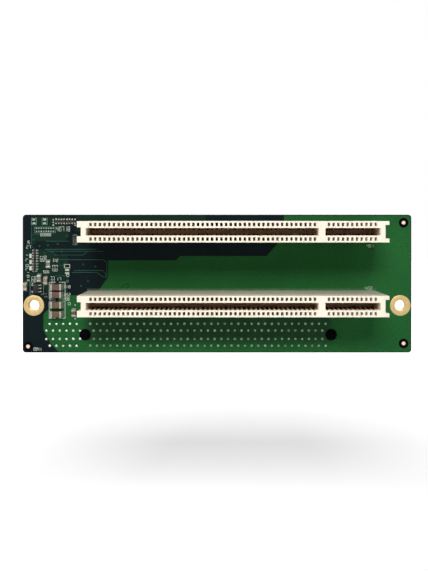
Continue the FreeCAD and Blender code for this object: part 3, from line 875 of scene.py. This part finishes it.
def track(bm, points, width, high):
    """A flat track of one width along a line of points on the front face."""
    runs = [(Vector(b) - Vector(a)).normalized() for a, b in zip(points, points[1:])]
    rings = []
    for (x, z), before, after in zip(points, runs[:1] + runs, runs + runs[-1:]):
        along = (before + after).normalized()
        reach = width / 2 / max(along.dot(before), 0.3)
        rings.append([
            bm.verts.new(front(x + side * along.y * reach, z - side * along.x * reach, w))
            for side, w in ((-1, SUNK), (-1, high), (1, high), (1, SUNK))
        ])
    skin(bm, rings)


def pad(bm, x, z, wide, long, high=PAD_HIGH):
    """A flat block on the front face; wide and long are halves."""
    block(bm, (LEFT + x, BOTTOM + z), wide, long, SUNK, high, front)


def make_copper():
    """The pours and tracks under the solder mask, on both faces."""
    bm = bmesh.new()
    plate(bm, POUR, POUR_HIGH, front, [(HOLE_X, 0.0)])
    finish_piece("front_pour", bm, "mask_copper")
    bm = bmesh.new()
    plate(bm, TOP_POUR, TOP_POUR_HIGH, front)
    for outline in DEEP_POURS:
        plate(bm, outline, DEEP_POUR_HIGH, front)
    finish_piece("front_deep_pours", bm, "mask_deep")
    bm = bmesh.new()
    for points, width in TRACES:
        track(bm, at(points), width, TRACK_HIGH)
    finish_piece("front_tracks", bm, "mask_trace")
    bm = bmesh.new()
    plate(bm, REAR_POUR, POUR_HIGH, rear, [(-HOLE_X, 0.0), (HOLE_X, 0.0)])
    finish_piece("rear_pour", bm, "mask_copper")


def make_fiducials():
    """Round aiming marks: a bare disc in a dark opening."""
    well = [(1.45, 0.0), (1.45, 0.04), (1.4, 0.045), (0.0, 0.045)]
    disc = [(0.55, 0.03), (0.55, 0.065), (0.5, 0.075), (0.0, 0.075)]
    wells, discs = bmesh.new(), bmesh.new()
    for spot in at(FIDUCIALS):
        lathe(wells, well, spot, front, sides=48)
        lathe(discs, disc, spot, front, sides=40)
    finish_piece("fiducial_wells", wells, "peg", smooth=35)
    finish_piece("fiducial_discs", discs, "bare_copper", smooth=35)


# Strokes of plain numbers, on a cell one wide and two high, and each digit's strokes.
STROKES = {
    "a": ((0, 2), (1, 2)), "b": ((1, 1), (1, 2)), "c": ((1, 0), (1, 1)), "d": ((0, 0), (1, 0)),
    "e": ((0, 0), (0, 1)), "f": ((0, 1), (0, 2)), "g": ((0, 1), (1, 1)),
}
DIGITS = ("afedcb", "bc", "abged", "abgcd", "fgbc", "afgcd", "afedcg", "abc", "agdfebc", "afbgcd")
DIGIT_LINE = 0.11
# Each number's digits and its area, as x0, z0, x1, z1; some read upwards, and some are worn.
NUMBERS = (
    ("40718", 9.9, 36.0, 14.2, 37.5), ("80888", 5.2, 34.6, 8.5, 35.5), ("26", 2.9, 24.0, 4.4, 25.2),
    ("60", 5.1, 27.0, 6.6, 28.7), ("33", 8.2, 20.6, 9.6, 22.7), ("018", 12.4, 19.1, 14.3, 20.0),
    ("052", 12.4, 16.7, 14.3, 17.7), ("08", 12.7, 15.4, 14.0, 16.4), ("0041", 3.2, 0.5, 5.6, 1.5),
    ("68", 2.6, 20.8, 4.1, 22.7), ("70", 14.8, 37.6, 16.6, 38.6), ("401", 102.3, 31.2, 104.4, 32.2),
    ("402", 101.7, 18.6, 104.1, 19.6), ("27", 1.0, 30.9, 2.5, 32.0), ("16", 1.1, 32.4, 2.2, 33.3),
    ("312", 8.9, 26.9, 10.6, 27.9), ("506", 6.0, 23.6, 8.0, 24.4), ("17", 9.8, 21.4, 11.6, 22.3),
)
UPRIGHT_NUMBERS = (
    ("83", 8.8, 24.1, 10.4, 26.2), ("3121", 1.3, 21.1, 2.0, 24.0), ("70", 0.9, 24.3, 1.7, 26.5),
    ("71", 0.9, 27.0, 1.7, 29.3), ("38", 6.3, 27.2, 7.1, 29.0),
)
WORN_NUMBERS = (
    ("12", 12.5, 20.8, 13.8, 21.6),
)
WORN_UPRIGHT_NUMBERS = (
    ("6003", 14.9, 31.9, 16.2, 35.2), ("31", 6.4, 16.2, 7.3, 17.7),
)


def print_number(bm, digits, x0, z0, x1, z1, upright):
    """Plain digits that fill an area."""
    along, across = (z1 - z0, x1 - x0) if upright else (x1 - x0, z1 - z0)
    cell = along / len(digits)
    for n, digit in enumerate(digits):
        for stroke in DIGITS[int(digit)]:
            ends = []
            for u, v in STROKES[stroke]:
                run = (n + 0.14 + 0.6 * u) * cell
                rise = (0.06 + 0.44 * v) * across
                ends.append((x0 + across - rise, z0 + run) if upright else (x0 + run, z0 + rise))
            track(bm, at(ends), DIGIT_LINE, PRINT_HIGH)


def print_frame(bm, area, line=0.14, part=None):
    """An outline, or its two upright sides and this part of the others from each corner."""
    x0, z0, x1, z1 = area
    if part is None:
        track(bm, at([(x0, z0), (x1, z0), (x1, z1), (x0, z1), (x0, z0)]), line, PRINT_HIGH)
        return
    for x in (x0, x1):
        track(bm, at([(x, z0), (x, z1)]), line, PRINT_HIGH)
    run = (x1 - x0) * part
    for z in (z0, z1):
        for x, step in ((x0, run), (x1, -run)):
            track(bm, at([(x, z), (x + step, z)]), line, PRINT_HIGH)


def make_print():
    """Generic print: plain numbers, outlines and marks beside the parts."""
    bright, faint = bmesh.new(), bmesh.new()
    for bm, upright, rows in (
        (bright, False, NUMBERS), (bright, True, UPRIGHT_NUMBERS),
        (faint, False, WORN_NUMBERS), (faint, True, WORN_UPRIGHT_NUMBERS),
    ):
        for row in rows:
            print_number(bm, *row, upright)
    for z in (25.125, 26.925, 28.725):
        pad(bright, 2.35, z, 0.35, 0.625, MARK_HIGH)
    for area in EMPTY_PLACES:
        print_frame(faint, area, part=0.3)
    print_frame(bright, (12.4, 25.2, 14.0, 26.2))
    print_frame(faint, (3.5, 35.6, 9.7, 37.3), line=0.1)
    print_frame(bright, (7.9, 15.9, 12.6, 20.9), part=0.4)
    print_frame(bright, (7.9, 10.2, 12.6, 15.3), part=0.4)
    print_frame(faint, (2.2, 17.3, 6.2, 20.9), part=0.2)
    for spot in at([(2.9, 20.5), (2.9, 18.0), (15.6, 14.1), (15.6, 10.1)]):
        arrow = [(0.3, SUNK), (0.3, MARK_HIGH), (0.0, PRINT_HIGH)]
        lathe(bright, arrow, spot, front, sides=3)
    for spot in at([(13.4, 22.9), (13.85, 14.5)]):
        ring(bright, spot, 0.32, 0.45, SUNK, PRINT_HIGH, front, sides=28)
    room = 0.35
    for name in ("upper", "lower"):
        low, high = box_mm(f"{name}_pci_slot_housing")
        print_frame(faint, (
            low.x - LEFT - room, low.z - BOTTOM - room, high.x - LEFT + room,
            high.z - BOTTOM + room,
        ), line=0.12)
    finish_piece("white_print", bright, "print")
    finish_piece("worn_print", faint, "faint_print")
    dark = bmesh.new()
    for points in DARK_MARKS:
        track(dark, at(points), DARK_LINE, MARK_HIGH)
    finish_piece("dark_marks", dark, "mask_bare")


def make_bare_pads():
    """Pads with no part on them, and small plated vias."""
    pads = bmesh.new()
    for x0, z0, x1, z1 in EMPTY_PLACES:
        for z in (z0 + 0.45, z1 - 0.45):
            pad(pads, (x0 + x1) / 2, z, 0.42, 0.3)
    for n in range(8):
        for z in (36.05, 36.95):
            pad(pads, 4.1 + n * 0.72, z, 0.2, 0.17)
    for z in (23.65, 24.6):
        pad(pads, 13.225, z, 0.625, 0.3)
    for n in range(3):
        pad(pads, 9.1, 39.5 - n * 0.8, 0.2, 0.2)
    finish_piece("bare_pads", pads, "dull_solder")

    vias = bmesh.new()
    for spot in at(VIAS):
        for place in (front, rear):
            ring(vias, spot, 0.13, 0.28, SUNK, VIA_HIGH, place, sides=18)
    finish_piece("vias", vias, "mask_trace")


# ---- small parts

CAP_FOOT = 0.4
LEG_PATH = [
    (-0.15, 0.66), (0.12, 0.66), (0.24, 0.5), (0.3, 0.16), (0.42, 0.075), (0.64, 0.075),
]
LEG_PITCH = 0.95
LEG_WIDTH, LEG_THICK = 0.36, 0.13
# Resistor packs: from their shared middle to each, half a body's length, and their ends.
PACK_SPOT, PACK_HALF = 1.6, 1.5
PACK_ENDS, PACK_PITCH, PACK_END_HALF = 4, 0.8, 0.22
# The bridge's balls stand in a square that is empty but for its outer two rows.
BALL_ROWS, BALL_RIM, BALL_PITCH = 14, 2, 0.8
BALL = [(0.0, -0.02), (0.2, 0.02), (0.25, 0.11), (0.2, 0.2), (0.0, 0.22)]


def make_dot(name, centre, inner, outer, top, place, sides):
    """The worn ring that marks a chip's first leg."""
    bm = bmesh.new()
    ring(bm, centre, inner, outer, top - 0.02, top + 0.004, place, sides)
    finish_piece(name, bm, "faint_print")


def lying(middle, upright):
    """A place on the front face for u along a part, v across it and w out of the board."""
    def place(u, v, w):
        if upright:
            return front(middle.x + v, middle.z + u, w)
        return front(middle.x + u, middle.z + v, w)
    return place


def make_two_ended(node, look, upright):
    """A chip capacitor: a ceramic block, and metal ends that wrap it, with solder fillets."""
    middle, ends = middle_and_size(f"{node}_ends")
    body = middle_and_size(f"{node}_ceramic")[1]
    height = -box_mm(f"{node}_ceramic")[0].y
    along, across = (2, 0) if upright else (0, 2)
    reach, near, half = ends[along] / 2, body[along] / 2, body[across] / 2
    end = reach - CAP_FOOT
    place = lying(middle, upright)
    bm = bmesh.new()
    block(bm, (0.0, 0.0), end - 0.06, half - 0.05, 0.06, height - 0.05, place)
    piece = finish_piece(
        f"{node}_block", bm, look, replaces=[f"{node}_ceramic"]
    )
    bevel(piece, 0.07, 3)
    profile = [
        (near, 0.0), (reach, 0.0), (end + 0.16, height * 0.32), (end, height * 0.72),
        (end, height), (near, height),
    ]
    bm = bmesh.new()
    for sign in (-1, 1):
        prism(bm, [(sign * u, w) for u, w in profile], (-half, half), place)
    piece = finish_piece(f"{node}_caps", bm, "tin", replaces=[f"{node}_ends"])
    bevel(piece, 0.08, 3)


def make_regulator():
    """Five-leg chip: a drafted body with rounded edges and legs bent like a gull's wing."""
    middle, size = middle_and_size("regulator_body")
    top = -box_mm("regulator_body")[0].y
    wide, long = size.x / 2, size.z / 2
    bm = bmesh.new()
    levels = ((0.1, 0.08), (0.6, 0.0), (0.72, 0.0), (top, 0.1))
    tapered(bm, (middle.x, middle.z), wide, long, levels, front)
    piece = finish_piece(
        "regulator_case", bm, "chip", replaces=["regulator_body"]
    )
    bevel(piece, 0.05, 3, angle=20)
    path = smooth_path(LEG_PATH)
    bm = bmesh.new()
    for sign, rises in ((1, (-1, 0, 1)), (-1, (-1, 1))):

        def place(along, u, w, sign=sign):
            return front(middle.x + sign * (wide + u), along, w)

        for rise in rises:
            strip(bm, path, middle.z + rise * LEG_PITCH, LEG_WIDTH, LEG_THICK, place)
    finish_piece(
        "regulator_gull_legs", bm, "tin", replaces=["regulator_legs"], smooth=40
    )
    corner = (middle.x - wide + 0.42, middle.z + long - 0.45)
    make_dot("regulator_dot", corner, 0.1, 0.17, top, front, 20)


def make_packs(node, upright):
    """Two resistor packs: a glazed body with four soldered ends a side."""
    middle, size = middle_and_size(f"{node}_bodies")
    height = -box_mm(f"{node}_bodies")[0].y
    half = (size.x if upright else size.z) / 2
    place, place_across = lying(middle, upright), lying(middle, not upright)
    profile = [
        (half - 0.22, height), (half + 0.02, height - 0.02), (half + 0.08, height * 0.4),
        (half + 0.25, 0.02), (half - 0.22, 0.0),
    ]
    glaze, ends = bmesh.new(), bmesh.new()
    for pack in (-PACK_SPOT, PACK_SPOT):
        block(glaze, (pack, 0.0), PACK_HALF, half - 0.02, 0.03, height - 0.02, place)
        for n in range(PACK_ENDS):
            spot = pack + (n - (PACK_ENDS - 1) / 2) * PACK_PITCH
            span = (spot - PACK_END_HALF, spot + PACK_END_HALF)
            for sign in (-1, 1):
                prism(ends, [(sign * v, w) for v, w in profile], span, place_across)
    piece = finish_piece(
        f"{node}_glaze", glaze, "chip", replaces=[f"{node}_bodies"]
    )
    bevel(piece, 0.05)
    piece = finish_piece(f"{node}_caps", ends, "tin", replaces=[f"{node}_ends"])
    bevel(piece, 0.03)


def make_bridge():
    """Bridge chip on the rear face: a laminate base on solder balls, and a moulded cap."""
    middle, size = middle_and_size("bridge_chip_base")
    base_top = box_mm("bridge_chip_base")[1].y - THICK
    bm = bmesh.new()
    block(bm, (middle.x, middle.z), size.x / 2, size.x / 2, 0.2, base_top, rear)
    piece = finish_piece(
        "bridge_base", bm, "package", replaces=["bridge_chip_base"]
    )
    bevel(piece, 0.05)
    balls = bmesh.new()
    first = -(BALL_ROWS - 1) / 2 * BALL_PITCH
    inner = range(BALL_RIM, BALL_ROWS - BALL_RIM)
    for row in range(BALL_ROWS):
        for column in range(BALL_ROWS):
            if row in inner and column in inner:
                continue
            x, z = first + BALL_PITCH * column, first + BALL_PITCH * row
            lathe(balls, BALL, (middle.x + x, middle.z + z), rear, sides=10)
    finish_piece("bridge_balls", balls, "solder", smooth=50)
    half = middle_and_size("bridge_chip_cap")[1].x / 2
    top = box_mm("bridge_chip_cap")[1].y - THICK
    bm = bmesh.new()
    levels = ((base_top - 0.02, 0.0), (base_top + 0.05, 0.0), (top, 0.16))
    tapered(bm, (middle.x, middle.z), half, half, levels, rear)
    piece = finish_piece("bridge_cap", bm, "chip", replaces=["bridge_chip_cap"])
    bevel(piece, 0.08, 3, angle=20)
    corner = (middle.x + half - 1.2, middle.z + half - 1.2)
    make_dot("bridge_dot", corner, 0.3, 0.45, top, rear, 28)


def make_small_parts():
    """Every chip, capacitor and resistor pack."""
    for word in ("one", "two", "three", "four"):
        make_two_ended(f"large_capacitor_{word}", "brown", False)
    for word, look in (
        ("edge", "tan"), ("slot", "brown"), ("grey", "grey"), ("tan", "tan"), ("high", "grey"),
    ):
        make_two_ended(f"{word}_capacitor", look, True)
    make_regulator()
    make_packs("top_resistor_packs", False)
    make_packs("side_resistor_packs", True)
    make_bridge()


# ---- room and camera

FLOOR_LEVEL, FLOOR_REACH = -85, 2000
# Each light's place, width and height in metres, and its power; all aim at the origin.
LIGHTS = (
    ("key", (-0.05, -0.48, 0.35), (0.3, 0.16), 3.1),
    ("left_fill", (-0.5, -0.35, 0.1), (0.4, 0.4), 0.24),
    ("right_fill", (0.55, -0.35, 0.05), (0.4, 0.4), 0.16),
    ("rear_key", (0.15, 0.45, 0.4), (0.35, 0.3), 1.8),
    ("rear_fill", (-0.5, 0.4, 0.15), (0.4, 0.4), 1.2),
)


def make_floor():
    """A pale floor under the card, which looks whiter further out but lights nothing more."""
    shade = Shade("pale_floor", rough=0.9)
    grey = shade.ramp(shade.noise(12.0, 2.0), (0.0, (238, 238, 238)), (1.0, (244, 244, 244)))
    away = shade.node("ShaderNodeVectorMath", {0: shade.coords}, operation="LENGTH")
    glow = shade.span(away.outputs["Value"], 0.15, 0.8, 0.2, 1.0, "LINEAR")
    paths = shade.node("ShaderNodeLightPath").outputs
    seen = shade.maths("MAXIMUM", paths["Is Camera Ray"], paths["Is Glossy Ray"])
    shade.feed("Base Color", grey)
    shade.feed("Emission Strength", shade.maths("MULTIPLY", glow, seen))
    shade.shader.inputs["Emission Color"].default_value = WHITE
    bm = bmesh.new()
    bm.faces.new([
        bm.verts.new((x * FLOOR_REACH, y * FLOOR_REACH, FLOOR_LEVEL))
        for x, y in ((-1, -1), (1, -1), (1, 1), (-1, 1))
    ])
    new_object("floor", bm, shade.material)


def make_surround():
    """White wherever it is seen, and only a dim light."""
    world = bpy.data.worlds.new("surround")
    bpy.context.scene.world = world
    world.use_nodes = True
    tree = world.node_tree
    tree.nodes.clear()
    paths = add_node(tree, "ShaderNodeLightPath").outputs
    seen = paths["Is Camera Ray"]
    for ray in ("Is Glossy Ray", "Is Transmission Ray"):
        seen = maths(tree, "MAXIMUM", seen, paths[ray])
    dim, white = [
        add_node(tree, "ShaderNodeBackground", {"Color": WHITE, "Strength": strength})
        for strength in (0.1, 1.0)
    ]
    mixed = add_node(tree, "ShaderNodeMixShader", {
        "Fac": seen, 1: dim.outputs["Background"], 2: white.outputs["Background"],
    })
    add_node(tree, "ShaderNodeOutputWorld", {"Surface": mixed.outputs["Shader"]})


def make_lights():
    """A soft key and two fills in front, and a key and a fill behind."""
    for name, place, size, power in LIGHTS:
        data = bpy.data.lights.new(name, "AREA")
        data.shape = "RECTANGLE"
        data.size, data.size_y = size
        data.energy = power
        lamp = bpy.data.objects.new(name, data)
        lamp.location = place
        lamp.rotation_euler = (-Vector(place)).to_track_quat("-Z", "Y").to_euler()
        bpy.context.scene.collection.objects.link(lamp)


def make_camera():
    """Straight on, level with the upper slot, and near enough to look into both slots."""
    data = bpy.data.cameras.new("camera")
    camera = bpy.data.objects.new("camera", data)
    bpy.context.scene.collection.objects.link(camera)
    camera.location = (-0.0009, -0.176, 0.022)
    camera.rotation_euler = (math.radians(90), 0.0, 0.0)
    data.lens = 37.3
    data.shift_y = -0.0946
    data.clip_start = 0.01
    data.clip_end = 20.0
    bpy.context.scene.camera = camera


# ---- assembly

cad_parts["circuit_board"].material_slots[0].material = MATERIALS["mask_bare"].material
make_copper()
make_plating()
make_fiducials()
make_print()
make_bare_pads()
for slot_name in ("upper", "lower"):
    make_pci_slot(slot_name)
make_pcie_slot()
make_small_parts()
make_floor()
make_surround()
make_lights()
make_camera()
bpy.context.scene.view_settings.view_transform = "Standard"
